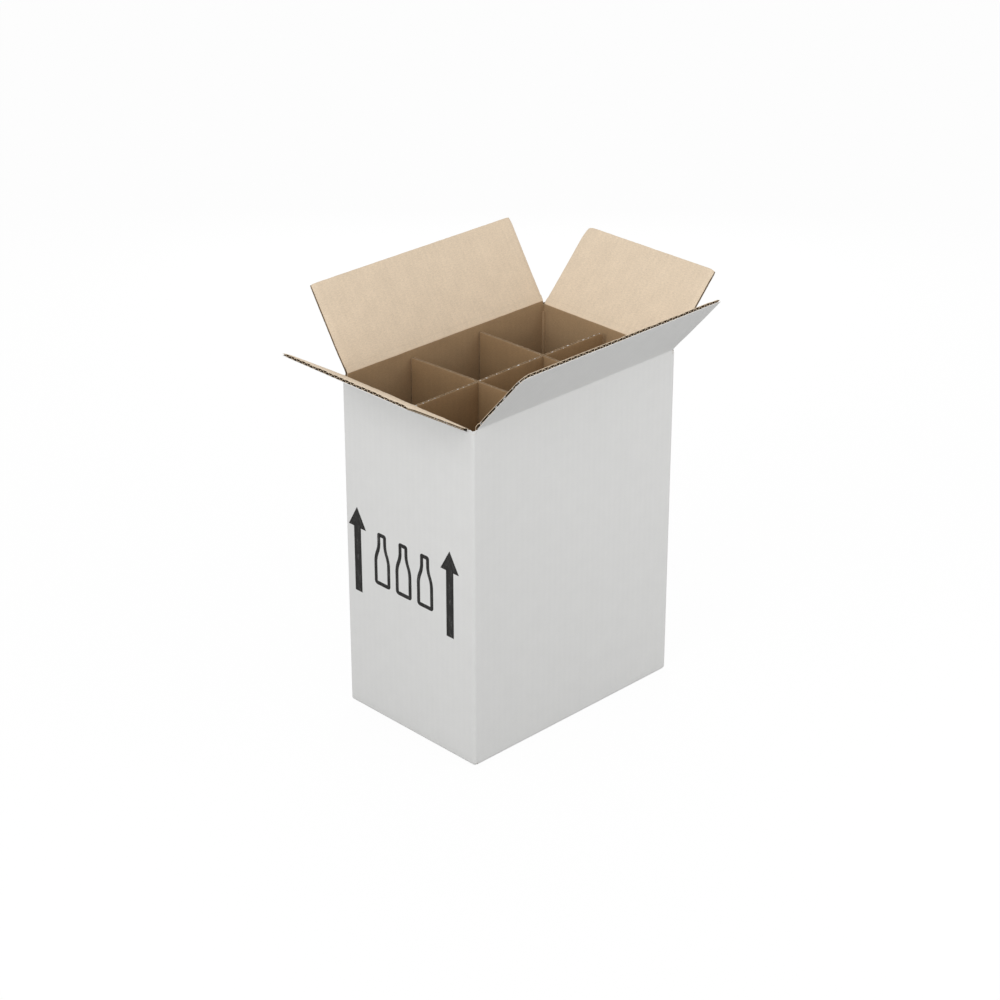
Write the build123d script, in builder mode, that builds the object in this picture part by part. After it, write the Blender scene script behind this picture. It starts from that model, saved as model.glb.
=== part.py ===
"""Bottle shipping box: a slotted corrugated case for six bottles, with a crossed partition.

The case is one folded sheet. Its bottom flaps are folded shut and glued, and its four top flaps
stand open. Inside, one long divider and two cross dividers slot together into six cells.

Frame: millimetres, +Z up, +X along the case. The origin is the middle of the case's underside.
"""

import os
from math import ceil, cos, radians, sin, tan

from build123d import *

# Case, outside sizes
case_length = 256.0
case_width = 169.0
case_height = 335.0  # from the underside to the folds of the long top flaps
case_board = 3.2
fold_radius = 3.0  # outside of the upright folds
bottom_fold_radius = 2.0  # outside of the bottom folds
inside_crease = 2.4  # how far the bead of crushed board in each inside corner reaches along its walls

# Flaps
flap_side_gap = 0.8  # from the side of a closed flap to the inside of the wall next to it
meeting_gap = 0.5  # between the free edges of two closed long flaps
flap_layer_gap = 0.3  # between a closed end flap and the long flaps over it
fold_gap = 0.15  # relief of each side of a top fold
crushed_band = 5.0  # board pressed solid beside a top fold, where the flutes end
long_flap_angles = {"front": 49.0, "back": 58.0}  # above level, leaning outward
end_flap_angles = {"left": 32.0, "right": 47.0}

# Glued joint of the case, inside the left end wall
tab_width = 35.0
tab_end_gap = 6.0
tab_taper = 15.0  # degrees off square, at its upper and lower ends

# Corrugated board
flute_pitch = 7.0
liner = 0.45
fluting = 0.4  # thickness of the waved paper between the liners
flute_foot = 0.5  # half of the strip where a wave is glued to its liner
flute_crest = 1.1  # half of a channel's rounded top
flute_shoulder = 0.74  # height of a channel's straight side, as a share of the channel

# Partition
divider_board = 2.8
cell_columns = 3
partition_shift = 1.0  # the partition stands loose, a little towards the right end
long_divider_end_gap = 5.8
cross_divider_end_gap = 0.6
cross_divider_skews = (4.0, 1.5)  # degrees that each cross divider stands off square
slot_play = 0.6
slot_overlap = 0.3  # how far the two half-height slots run past each other
divider_top_gap = 0.3  # under the closed end flaps
divider_corner_cut = 3.0  # corners cut off the long divider's upper ends

# Worked out from the sizes above
long_fold_height = case_height
end_fold_height = case_height - case_board - flap_layer_gap
flap_length = (case_width - meeting_gap) / 2
slot_set_back = case_board + flap_side_gap  # from the outside of the case to the side of a flap
long_flap_width = case_length - 2 * slot_set_back
end_flap_width = case_width - 2 * slot_set_back
inside_length = case_length - 2 * case_board
inside_width = case_width - 2 * case_board
floor_height = 2 * case_board
divider_top = end_fold_height - case_board - divider_top_gap
divider_height = divider_top - floor_height
long_divider_length = inside_length - 2 * long_divider_end_gap
cross_divider_length = inside_width - 2 * cross_divider_end_gap
cell_pitch = inside_length / cell_columns
cross_divider_places = [
    partition_shift + (column - cell_columns / 2) * cell_pitch for column in range(1, cell_columns)
]

os.makedirs("parts", exist_ok=True)


def finish_piece(piece, name):
    """Labels a finished piece and writes it to its own STEP file."""
    piece.part.label = name
    export_step(piece.part, f"parts/{name}.step")


def flute_channel(thickness):
    """The outline of one open channel between a liner and the waved paper, foot on the X axis."""
    height = thickness - 2 * liner - fluting
    half_foot = flute_pitch / 2 - flute_foot
    shoulder = flute_shoulder * height
    with BuildSketch() as channel:
        with BuildLine():
            Polyline((-flute_crest, shoulder), (-half_foot, 0), (half_foot, 0), (flute_crest, shoulder))
            ThreePointArc((flute_crest, shoulder), (0, height), (-flute_crest, shoulder))
        make_face()
    return channel.sketch


def fluted_section(plane, width, thickness):
    """A cut square across the flutes: two liners and the waved paper. One liner lies on plane's X axis."""
    channel = flute_channel(thickness)
    reach = ceil(width / flute_pitch / 2)
    crests = [wave * flute_pitch for wave in range(-reach, reach + 1)]
    with BuildSketch(plane) as section:
        with Locations((0, thickness / 2)):
            Rectangle(width, thickness)
        with Locations(*[(crest, liner) for crest in crests]):
            add(channel, mode=Mode.SUBTRACT)
        with Locations(*[(crest + flute_pitch / 2, thickness - liner) for crest in crests]):
            add(channel, rotation=180, mode=Mode.SUBTRACT)
    return section


def make_case():
    """The folded sheet up to its top folds: walls, closed bottom flaps and glued joint, in one solid."""
    half_length, half_width = case_length / 2, case_width / 2
    bevel = case_board + fold_gap
    with BuildPart() as case:
        # Four walls between the bottom and top folds of the end flaps
        with BuildSketch(Plane.XY.offset(case_board)):
            RectangleRounded(case_length, case_width, fold_radius)
            Rectangle(inside_length, inside_width, mode=Mode.SUBTRACT)
        extrude(amount=end_fold_height - fold_gap - case_board)

        # A bead of crushed board up each inside corner, as high as the partition
        with BuildSketch(Plane.XY.offset(case_board)):
            Rectangle(inside_length, inside_width)
            with BuildSketch(mode=Mode.SUBTRACT) as inside:
                Rectangle(inside_length, inside_width)
                chamfer(inside.vertices(), inside_crease)
        extrude(amount=divider_top - case_board)

        # The long walls run past the slots, down to the floor and up to their own folds
        with BuildSketch():
            with GridLocations(0, case_width - case_board, 1, 2):
                Rectangle(long_flap_width, case_board)
        extrude(amount=long_fold_height - fold_gap)

        # Bottom flaps: the long pair outside, meeting in the middle, and the end pair glued on top of it
        with BuildSketch():
            with GridLocations(0, case_width - flap_length, 1, 2):
                Rectangle(long_flap_width, flap_length)
        extrude(amount=case_board)
        with BuildSketch(Plane.XY.offset(case_board)):
            with GridLocations(case_length - flap_length, 0, 2, 1):
                Rectangle(flap_length, end_flap_width)
        extrude(amount=case_board)

        # Rounded outside of the bottom folds
        under_long_walls = case.edges().filter_by(Axis.X).filter_by(
            lambda edge: abs(abs(edge.center().Y) - half_width) < 0.01 and edge.center().Z < 0.01
        )
        under_end_walls = case.edges().filter_by(Axis.Y).filter_by(
            lambda edge: abs(abs(edge.center().X) - half_length) < 0.01
            and abs(edge.center().Z - case_board) < 0.01
        )
        fillet(under_long_walls + under_end_walls, bottom_fold_radius)

        # Mitred tops of the walls, where the closed flaps lie over them
        with BuildSketch(Plane.YZ):
            for side in (-1, 1):
                with BuildLine():
                    Polyline(
                        (side * half_width, long_fold_height - fold_gap),
                        (side * (half_width - bevel), long_fold_height - fold_gap),
                        (side * (half_width - bevel), long_fold_height - fold_gap - bevel),
                        close=True,
                    )
                make_face()
        extrude(amount=long_flap_width / 2, both=True, mode=Mode.SUBTRACT)
        with BuildSketch(Plane.XZ):
            for side in (-1, 1):
                with BuildLine():
                    Polyline(
                        (side * half_length, end_fold_height - fold_gap),
                        (side * (half_length - bevel), end_fold_height - fold_gap),
                        (side * (half_length - bevel), end_fold_height - fold_gap - bevel),
                        close=True,
                    )
                make_face()
        extrude(amount=end_flap_width / 2, both=True, mode=Mode.SUBTRACT)

        # Glued joint: a tab of the back wall, folded round the corner and glued inside the left end wall
        tab_low = floor_height + tab_end_gap
        tab_high = end_fold_height - bevel - tab_end_gap
        tab_slope = tab_width * tan(radians(tab_taper))
        with BuildSketch(Plane.YZ.offset(-inside_length / 2)):
            with BuildLine():
                Polyline(
                    (inside_width / 2, tab_low),
                    (inside_width / 2, tab_high),
                    (inside_width / 2 - tab_width, tab_high - tab_slope),
                    (inside_width / 2 - tab_width, tab_low + tab_slope),
                    close=True,
                )
            make_face()
        extrude(amount=case_board)
    return case


def make_top_flap(outward, fold_distance, fold_height, width, open_angle):
    """A top flap standing open. Outward points from the case through its wall."""
    outward = Vector(*outward)
    up = Vector(0, 0, 1)
    along_fold = up.cross(outward)
    leaning = radians(open_angle)
    reach = outward * cos(leaning) + up * sin(leaning)
    fold = outward * fold_distance + up * fold_height
    across_board = Plane(fold + reach * crushed_band, x_dir=along_fold, z_dir=reach)
    beside_fold = Plane(fold, x_dir=reach, z_dir=-along_fold)
    section = fluted_section(across_board, width, case_board)
    with BuildPart() as flap:
        extrude(section.sketch, amount=flap_length - crushed_band)
        with BuildSketch(beside_fold):
            with BuildLine():
                Polyline(
                    (fold_gap, 0),
                    (crushed_band, 0),
                    (crushed_band, case_board),
                    (fold_gap + case_board, case_board),
                    close=True,
                )
            make_face()
        extrude(amount=width / 2, both=True)
    return flap


def slot_width(skew):
    """A slot that clears the board crossing it at this angle off square."""
    return divider_board / cos(radians(skew)) + divider_board * tan(radians(skew)) + slot_play


def make_long_divider():
    """The divider along the case, with a slot from its top edge for each cross divider."""
    section = fluted_section(
        Plane((partition_shift, divider_board / 2, floor_height), x_dir=(-1, 0, 0), z_dir=(0, 0, 1)),
        long_divider_length,
        divider_board,
    )
    slot_depth = (divider_height + slot_overlap) / 2
    with BuildPart() as divider:
        extrude(section.sketch, amount=divider_height)
        with BuildSketch(Plane.XZ):
            for place, skew in zip(cross_divider_places, cross_divider_skews):
                with Locations((place, divider_top - slot_depth / 2)):
                    Rectangle(slot_width(skew), slot_depth)
            for end in (-1, 1):
                corner = partition_shift + end * long_divider_length / 2
                with BuildLine():
                    Polyline(
                        (corner, divider_top),
                        (corner - end * divider_corner_cut, divider_top),
                        (corner, divider_top - divider_corner_cut),
                        close=True,
                    )
                make_face()
        extrude(amount=divider_board, both=True, mode=Mode.SUBTRACT)
    return divider


def make_cross_divider(place, skew):
    """A divider across the case, with a slot from its bottom edge for the long divider."""
    middle = Plane((place, 0, floor_height), x_dir=(1, 0, 0), z_dir=(0, 0, 1)).rotated((0, 0, skew))
    first_liner = Plane(middle.origin - middle.x_dir * divider_board / 2, x_dir=-middle.y_dir, z_dir=(0, 0, 1))
    section = fluted_section(first_liner, cross_divider_length, divider_board)
    slot_depth = (divider_height + slot_overlap) / 2
    with BuildPart() as divider:
        extrude(section.sketch, amount=divider_height)
        with BuildSketch(middle):
            Rectangle(2 * divider_board, slot_width(skew))
        extrude(amount=slot_depth, mode=Mode.SUBTRACT)
    return divider


finish_piece(make_case(), "case_body")

for side, outward in (("front", (0, -1, 0)), ("back", (0, 1, 0))):
    flap = make_top_flap(
        outward, case_width / 2, long_fold_height, long_flap_width, long_flap_angles[side]
    )
    finish_piece(flap, f"{side}_top_flap")

for side, outward in (("left", (-1, 0, 0)), ("right", (1, 0, 0))):
    flap = make_top_flap(
        outward, case_length / 2, end_fold_height, end_flap_width, end_flap_angles[side]
    )
    finish_piece(flap, f"{side}_top_flap")

finish_piece(make_long_divider(), "long_divider")
for name, place, skew in zip(("left", "right"), cross_divider_places, cross_divider_skews):
    finish_piece(make_cross_divider(place, skew), f"{name}_cross_divider")
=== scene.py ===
"""Bottle shipping box: white-lined corrugated case with open top flaps and a crossed partition.

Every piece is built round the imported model: the frame gives the sizes, the bodies and the folds.
All sizes are in metres, in the frame's own axes: +Z up, +X along the case.
"""

from math import acos, asin, cos, pi, radians, sin, tan

import bmesh
import bpy
import numpy as np
from bpy.props import FloatProperty, FloatVectorProperty, IntProperty, PointerProperty
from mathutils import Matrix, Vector


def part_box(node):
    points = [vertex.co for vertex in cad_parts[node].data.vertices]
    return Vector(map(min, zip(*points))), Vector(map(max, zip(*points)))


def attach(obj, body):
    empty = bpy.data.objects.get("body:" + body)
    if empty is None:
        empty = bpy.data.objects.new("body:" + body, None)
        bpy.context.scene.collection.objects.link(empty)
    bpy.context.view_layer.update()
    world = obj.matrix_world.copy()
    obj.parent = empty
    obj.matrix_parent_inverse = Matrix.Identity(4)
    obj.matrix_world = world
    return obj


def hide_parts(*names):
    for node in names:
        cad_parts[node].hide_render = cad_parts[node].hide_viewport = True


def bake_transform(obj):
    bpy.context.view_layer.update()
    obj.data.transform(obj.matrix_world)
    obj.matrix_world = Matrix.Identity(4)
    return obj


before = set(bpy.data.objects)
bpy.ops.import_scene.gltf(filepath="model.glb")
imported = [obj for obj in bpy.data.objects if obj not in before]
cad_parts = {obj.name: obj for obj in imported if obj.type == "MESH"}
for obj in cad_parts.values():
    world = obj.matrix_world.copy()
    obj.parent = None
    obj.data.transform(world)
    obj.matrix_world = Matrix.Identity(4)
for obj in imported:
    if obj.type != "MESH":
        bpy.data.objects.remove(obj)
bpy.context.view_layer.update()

bl_info = {
    "name": "Bottle Shipping Box",
    "version": (1, 0, 0),
    "blender": (4, 5, 0),
    "location": "View3D > Sidebar > Bottle Box",
    "description": "Builds a corrugated bottle box with folding flaps and a crossed partition",
    "category": "Object",
}

MM = 0.001

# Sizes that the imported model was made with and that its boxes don't give
FOLD_GAP = 0.15 * MM
MEETING_GAP = 0.5 * MM
LAYER_GAP = 0.3 * MM
SLOT_SET_BACK = 4.0 * MM  # from the outside of the case to the side of a flap
UPRIGHT_FOLD_RADIUS = 3.0 * MM
BOTTOM_FOLD_RADIUS = 2.0 * MM
DIVIDER_SLOT_OVERLAP = 0.3 * MM
DIVIDER_SLOT_PLAY = 0.6 * MM
DIVIDER_CORNER_CUT = 3.0 * MM
CROSS_DIVIDER_END_GAP = 0.6 * MM
INSIDE_BEAD = 2.4 * MM
TOP_FOLD_REACH = 4.6 * MM  # how far the crushed strip of a top fold runs up its flap
OUTER_FOLD_REACH = 1.6 * MM  # how far it runs down the outside of the wall
TAB_WIDTH = 35.0 * MM
TAB_END_GAP = 6.0 * MM
TAB_TAPER = 15.0  # degrees

# How finely the board is divided
WALL_STEP = 8 * MM
HEIGHT_STEP = 14 * MM
FLAP_STEP = 3.1 * MM
DIVIDER_STEP = 3.5 * MM

# Order of the finishes on every mesh of board. Only the folds have the fourth, the walls' liner with its
# painted shade.
WHITE, BROWN, CUT, WALL_PAINTED_SHADE = range(4)
BOARD_MAP = "board"  # the place on the sheet: across the flutes, and along them
RIM = "rim"  # distance to the nearest cut edge of the sheet
FAR_FROM_RIM = 20 * MM

QUARTER_FOLD = UPRIGHT_FOLD_RADIUS * pi / 4  # half the length of an upright fold's outside
CORNERS = ((-1, -1), (1, -1), (-1, 1), (1, 1))
UP = np.array((0.0, 0.0, 1.0))


# ---- Settings ----


def length_setting(name, description, default):
    """A length, shown in the scene's own unit."""
    return FloatProperty(name=name, description=description, default=default, unit="LENGTH")


def power_setting(name, description, default):
    """The power of a light."""
    return FloatProperty(name=name, description=description, default=default, unit="POWER")


def angle_setting(name, description, degrees):
    """An angle, given in degrees."""
    return FloatProperty(
        name=name, description=description, default=radians(degrees), subtype="ANGLE"
    )


def colour_setting(name, description, default):
    """A colour with three parts."""
    return FloatVectorProperty(
        name=name, description=description, default=default, subtype="COLOR", min=0, max=1
    )


class BoardSettings(bpy.types.PropertyGroup):
    """Sizes of the corrugated board."""

    case_board: length_setting("Case board", "Thickness of the case's board", 3.2 * MM)
    divider_board: length_setting("Divider board", "Thickness of the dividers", 2.8 * MM)
    flute_pitch: length_setting("Flute pitch", "From one wave crest to the next", 7.0 * MM)
    liner: length_setting("Liner", "Thickness of each facing paper", 0.45 * MM)
    fluting: length_setting("Fluting", "Thickness of the waved paper", 0.34 * MM)
    wave_steps: IntProperty(
        name="Wave steps", description="Faces that make up one wave", default=12, min=6
    )
    wall_bulge: length_setting("Wall bulge", "How far a wall's middle stands out", 0.5 * MM)


class FinishSettings(bpy.types.PropertyGroup):
    """Colours of the papers and of the print. The browns carry painted light and painted shade."""

    white: colour_setting("White liner", "Bleached paper outside the case", (0.785, 0.785, 0.774))
    # Painted light: the flaps' inner liner is the same paper as the walls' inner liner, made much paler to
    # stand for the light on the open flaps.
    brown: colour_setting(
        "Flap liner", "Unbleached paper inside the flaps, paled by light", (0.765, 0.634, 0.482)
    )
    # Painted shade: the walls' inner liner, made much darker than the flaps' copy of the same paper to
    # stand for the shade inside the case.
    wall_liner_painted_shade: colour_setting(
        "Wall liner", "Unbleached paper inside the case's walls", (0.41, 0.28, 0.16)
    )
    # The divider board's own brown, made darker still as painted shade for the deep cells between the
    # dividers.
    divider: colour_setting(
        "Divider liner", "Unbleached paper on both sides of the dividers", (0.335, 0.218, 0.115)
    )
    # The waved paper's own brown and its raw edges, made darker as painted shade for the hollows between
    # the flutes.
    cut: colour_setting(
        "Cut edge", "Waved paper and the raw edges of the board", (0.30, 0.215, 0.135)
    )
    torn: colour_setting(
        "Torn fibre", "Pale fibre along rubbed and cut brown edges", (0.66, 0.54, 0.40)
    )
    ink: colour_setting("Ink", "Dark print on the end wall", (0.019, 0.018, 0.017))


class StageSettings(bpy.types.PropertyGroup):
    """Camera, floor and lights."""

    azimuth: angle_setting("Azimuth", "Turn of the camera round the box", -44.43)
    elevation: angle_setting("Elevation", "Height of the camera above the horizon", 26.38)
    camera_place: FloatVectorProperty(
        name="Camera",
        description="Place of the camera",
        default=(-1.515, -1.532, 1.264),
        subtype="TRANSLATION",
    )
    lens: FloatProperty(
        name="Lens", description="Focal length in millimetres", default=93.6, unit="CAMERA"
    )
    floor: colour_setting("Floor", "Colour of the floor", (0.93, 0.93, 0.93))
    glow: FloatProperty(
        name="Floor glow",
        description="Share of the floor that shows no shadow",
        default=0.94,
        min=0,
        max=1,
    )
    bounce: colour_setting("Bounce", "Colour that the floor throws back", (0.37, 0.37, 0.37))
    key: power_setting("Key", "Power of the stronger light", 6.1)
    fill: power_setting("Fill", "Power of the weaker light", 1.6)
    back: power_setting("Back", "Power of the light behind", 4.0)
    sky: FloatProperty(name="Sky", description="Strength of the light from all round", default=0.74)


# ---- Mesh helpers ----


class BoardMesh:
    """Faces of one piece of board, gathered as quads with a finish and a place on the sheet."""

    def __init__(self):
        self.points, self.maps, self.rims, self.finishes = [], [], [], []

    def add(self, points, finish, board_map=None, rim=FAR_FROM_RIM):
        """Adds quads: points is (count, 4, 3), board_map (count, 4, 2), rim one number or (count, 4)."""
        count = len(points)
        board_map = np.zeros((count, 4, 2)) if board_map is None else board_map
        self.points.append(np.asarray(points, float).reshape(count, 4, 3))
        self.maps.append(np.asarray(board_map, float).reshape(count, 4, 2))
        self.rims.append(np.broadcast_to(np.asarray(rim, float), (count, 4)))
        self.finishes.append(np.full(count, finish))

    def add_grid(self, points, board_map, finish, rim=None, keep=None):
        """Adds the kept cells of a grid: points is (rows, columns, 3)."""
        chosen = np.ones(np.array(points.shape[:2]) - 1, bool) if keep is None else keep
        rims = FAR_FROM_RIM if rim is None else cell_corners(rim)[chosen]
        self.add(cell_corners(points)[chosen], finish, cell_corners(board_map)[chosen], rims)

    def make(self, name, materials):
        """Turns the gathered faces into one object with welded corners and outward faces."""
        points = np.concatenate(self.points)
        corners = np.arange(len(points) * 4).reshape(-1, 4)
        mesh = bpy.data.meshes.new(name)
        mesh.from_pydata(points.reshape(-1, 3).tolist(), [], corners.tolist())
        board_map = mesh.uv_layers.new(name=BOARD_MAP)
        board_map.data.foreach_set("uv", np.concatenate(self.maps).astype(np.float32).ravel())
        rim = mesh.attributes.new(RIM, "FLOAT", "CORNER")
        rim.data.foreach_set("value", np.concatenate(self.rims).astype(np.float32).ravel())
        mesh.polygons.foreach_set("material_index", np.concatenate(self.finishes).astype(np.int32))
        for material in materials:
            mesh.materials.append(material)
        welded = bmesh.new()
        welded.from_mesh(mesh)
        bmesh.ops.remove_doubles(welded, verts=welded.verts, dist=0.002 * MM)
        bmesh.ops.dissolve_degenerate(welded, dist=0.0005 * MM, edges=welded.edges)
        bmesh.ops.recalc_face_normals(welded, faces=welded.faces)
        welded.to_mesh(mesh)
        welded.free()
        mesh.shade_smooth()
        mesh.set_sharp_from_angle(angle=radians(32))
        piece = bpy.data.objects.new(name, mesh)
        bpy.context.scene.collection.objects.link(piece)
        return piece


def cell_corners(grid):
    """The four corners of each cell of a grid, in order round the cell."""
    return np.stack([grid[:-1, :-1], grid[1:, :-1], grid[1:, 1:], grid[:-1, 1:]], axis=2)


def cell_middles(across, along):
    """The places of the middles of a grid's cells, across and along."""
    middles = [(places[1:] + places[:-1]) / 2 for places in (across, along)]
    return np.meshgrid(*middles, indexing="ij")


def flat_grid(across, along):
    """A grid of places on the sheet, as (across, along)."""
    return np.stack(np.meshgrid(across, along, indexing="ij"), axis=-1)


def unrolled(points):
    """Places on the sheet for points beside an upright corner."""
    return np.stack([points[..., 0] + points[..., 1], points[..., 2]], axis=-1)


def ribbon(first, second):
    """The quads between two lines of points."""
    return np.stack([first[:-1], first[1:], second[1:], second[:-1]], axis=1)


def line_lengths(line):
    """How far each point of a flat line is from its start, along the line."""
    return np.concatenate([[0], np.cumsum(np.hypot(*np.diff(line, axis=0).T))])


def matched(u, v, n):
    """Three board coordinates, all as arrays of one shape."""
    return np.broadcast_arrays(np.asarray(u, float), v, n)


def smooth_noise(places, spacing, seed):
    """A repeatable wandering line between -1 and 1, with a new value at each spacing."""
    count = 4096
    draws = np.random.default_rng(seed).uniform(-1, 1, count)
    steps = np.asarray(places, float) / spacing + count / 4 + 0.5
    low = np.floor(steps).astype(int)
    share = ease(steps - low, 0, 1)
    return draws[low % count] * (1 - share) + draws[(low + 1) % count] * share


def ease(value, start, end):
    """0 before start, 1 after end, and smooth between them."""
    share = np.clip((np.asarray(value, float) - start) / (end - start), 0, 1)
    return share * share * (3 - 2 * share)


def stations(low, high, step, *extra):
    """Even places from low to high, no further apart than step, with the extra ones among them."""
    even = np.linspace(low, high, max(2, int(np.ceil((high - low) / step)) + 1))
    inside = [place for place in extra if low < place < high]
    return np.unique(np.round(np.concatenate([even, inside]), 8))


def rounded_line(points, radii, turns):
    """A line through the points, each corner rounded in so many turns, as points (count, 2)."""
    points = [np.array(point, float) for point in points]
    line = [points[0]]
    for before, corner, after, radius in zip(points, points[1:], points[2:], radii):
        back, ahead = before - corner, after - corner
        back_length, ahead_length = np.linalg.norm(back), np.linalg.norm(ahead)
        reach = min(radius, 0.45 * back_length, 0.45 * ahead_length)
        start, end = corner + back / back_length * reach, corner + ahead / ahead_length * reach
        for turn in range(turns + 1):
            share = turn / turns
            line.append((1 - share) ** 2 * start + 2 * share * (1 - share) * corner + share**2 * end)
    return np.array([*line, points[-1]])


def even_line(line):
    """The same line cut into 21 even steps."""
    lengths = line_lengths(line)
    places = np.linspace(0, lengths[-1], 22)
    return np.stack([np.interp(places, lengths, line[:, axis]) for axis in (0, 1)], axis=1)


def plate(board, place, across, along, low, high, finishes, keep=None):
    """A layer between the heights low and high over a grid, closed at its cut edges.

    finishes are those of the low face, the high face and the cut edges.
    """
    sheet = flat_grid(across, along)
    u, v = sheet[..., 0], sheet[..., 1]
    kept = np.ones((len(across) - 1, len(along) - 1), bool) if keep is None else keep
    beside_edges = np.minimum(u - across[0], across[-1] - u), np.minimum(v - along[0], along[-1] - v)
    rim = np.minimum(*beside_edges)
    corners = []
    for height, finish in ((low, finishes[0]), (high, finishes[1])):
        points = place(u, v, np.broadcast_to(height, u.shape))
        board.add_grid(points, sheet, finish, rim, kept)
        corners.append(cell_corners(points))
    map_corners = cell_corners(sheet)
    around = np.pad(kept, 1)
    neighbours = {
        (0, 3): around[:-2, 1:-1],
        (1, 2): around[2:, 1:-1],
        (0, 1): around[1:-1, :-2],
        (3, 2): around[1:-1, 2:],
    }
    for (first, second), beside in neighbours.items():
        edge = np.nonzero(kept & ~beside)
        low_side, high_side = corners[0][edge][:, [first, second]], corners[1][edge][:, [second, first]]
        flat = map_corners[edge][:, [first, second, second, first]]
        board.add(np.concatenate([low_side, high_side], axis=1), finishes[2], flat, 0.0)


def crumb(board, centre, size, finish, draws):
    """A torn scrap of paper: a small block whose corners are all drawn a little out of place."""
    signs = np.array([(x, y, z) for x in (-1, 1) for y in (-1, 1) for z in (-1, 1)], float)
    corners = np.array(centre) + signs * np.array(size) * draws.uniform(0.35, 1.0, (8, 3))
    sides = [(0, 1, 3, 2), (4, 6, 7, 5), (0, 4, 5, 1), (2, 3, 7, 6), (0, 2, 6, 4), (1, 5, 7, 3)]
    quads = corners[np.array(sides)]
    board.add(quads, finish, unrolled(quads))


def fluted_board(
    board, place, sizes, thickness, across, along, finishes, keep_test=None, side_gap=0.0, end_gap=0.0
):
    """Two liners with the waved paper between them.

    across and along are the sheet's stations. keep_test says which cells stand, by their middles.
    side_gap and end_gap are how far the wave lies back from the cut edges.
    """

    def layer(across_places, along_places, low, high, layer_finishes):
        kept = None if keep_test is None else keep_test(*cell_middles(across_places, along_places))
        plate(board, place, across_places, along_places, low, high, layer_finishes, kept)

    liner, fluting = sizes.liner, sizes.fluting
    low_finish, high_finish = finishes
    layer(across, along, 0.0, liner, (low_finish, CUT, low_finish))
    layer(across, along, thickness - liner, thickness, (CUT, high_finish, high_finish))

    step = sizes.flute_pitch / sizes.wave_steps
    wave_across = stations(across[0] + side_gap, across[-1] - side_gap, step, *across)
    wave_along = along.copy()
    wave_along[-1] -= end_gap
    turn = 2 * pi * wave_across / sizes.flute_pitch
    steeper = 0.10  # a small third wave makes the sides steeper and the crests flatter
    shape = (np.cos(turn) - steeper * np.cos(3 * turn)) / (1 - steeper)
    half_height = (thickness - 2 * liner - fluting) / 2
    slope = half_height * np.gradient(shape, wave_across)
    half_sheet = (fluting / 2 * np.sqrt(1 + slope**2))[:, None]
    middle = (thickness / 2 + half_height * shape)[:, None]
    layer(wave_across, wave_along, middle - half_sheet, middle + half_sheet, (CUT, CUT, BROWN))


# ---- Shader groups and materials ----


def math_node(tree, operation, first, second=None, clamp=False):
    """A Math node whose inputs are numbers or sockets. Returns its output."""
    node = tree.nodes.new("ShaderNodeMath")
    node.operation = operation
    node.use_clamp = clamp
    for socket, value in zip(node.inputs, (first, second)):
        if value is not None:
            set_socket(tree, socket, value)
    return node.outputs[0]


def set_socket(tree, socket, value):
    """Links a socket to the value if that is a socket too, or sets it to the number."""
    if isinstance(value, bpy.types.NodeSocket):
        tree.links.new(value, socket)
    else:
        socket.default_value = value


def weighted(tree, *parts):
    """The sum of the parts, each a socket and its share."""
    total = None
    for value, share in parts:
        part = math_node(tree, "MULTIPLY", value, share)
        total = part if total is None else math_node(tree, "ADD", total, part)
    return total


def above(tree, value, level, gain):
    """0 where the value is below the level, rising to 1 above it at the rate of the gain."""
    over = math_node(tree, "SUBTRACT", value, level)
    return math_node(tree, "MULTIPLY", over, gain, clamp=True)


def noise_node(tree, vector, scale, detail, roughness, stretch=None):
    """A Noise texture on the vector, stretched first if asked. Returns its value output."""
    if stretch:
        wider = tree.nodes.new("ShaderNodeVectorMath")
        wider.operation = "MULTIPLY"
        tree.links.new(vector, wider.inputs[0])
        wider.inputs[1].default_value = stretch
        vector = wider.outputs[0]
    node = tree.nodes.new("ShaderNodeTexNoise")
    tree.links.new(vector, node.inputs["Vector"])
    for socket, value in (("Scale", scale), ("Detail", detail), ("Roughness", roughness)):
        node.inputs[socket].default_value = value
    return node.outputs["Fac"]


def mixed_colour(tree, factor, first, second):
    """A colour mix. The factor is a socket, and each colour a socket or three numbers."""
    node = tree.nodes.new("ShaderNodeMix")
    node.data_type = "RGBA"
    tree.links.new(factor, node.inputs["Factor"])
    for socket, value in ((node.inputs[6], first), (node.inputs[7], second)):
        set_socket(tree, socket, value if isinstance(value, bpy.types.NodeSocket) else (*value, 1))
    return node.outputs[2]


def fibre_parts(tree, given):
    """Paper surface: cloudy formation, fibres lying across the flutes, dark specks, and their height."""
    vector = given["Vector"]
    cloud = noise_node(tree, vector, 55.0, 4.0, 0.6)
    fine = noise_node(tree, vector, 400.0, 3.0, 0.65, (1.0, 2.2, 1.0))
    crossed = noise_node(tree, vector, 700.0, 2.0, 0.6, (2.0, 0.8, 1.0))
    fibre = math_node(tree, "SUBTRACT", weighted(tree, (fine, 0.6), (crossed, 0.4)), 0.5)
    speck = above(tree, noise_node(tree, vector, 1500.0, 1.0, 0.5, (1.0, 2.4, 1.0)), 0.66, 9.0)
    height = weighted(tree, (fibre, 1.0), (speck, 0.2))
    return math_node(tree, "SUBTRACT", cloud, 0.5), fibre, speck, height


def washboard_parts(tree, given):
    """Faint ridges that the glued wave crests leave in the liner."""
    place = tree.nodes.new("ShaderNodeSeparateXYZ")
    tree.links.new(given["Vector"], place.inputs[0])
    turn = math_node(tree, "MULTIPLY", place.outputs["X"], 2 * pi)
    ridge = math_node(tree, "COSINE", math_node(tree, "DIVIDE", turn, given["Pitch"]))
    patchy = noise_node(tree, given["Vector"], 90.0, 2.0, 0.55, (1.0, 0.25, 1.0))
    return (math_node(tree, "MULTIPLY", ridge, patchy),)


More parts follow.
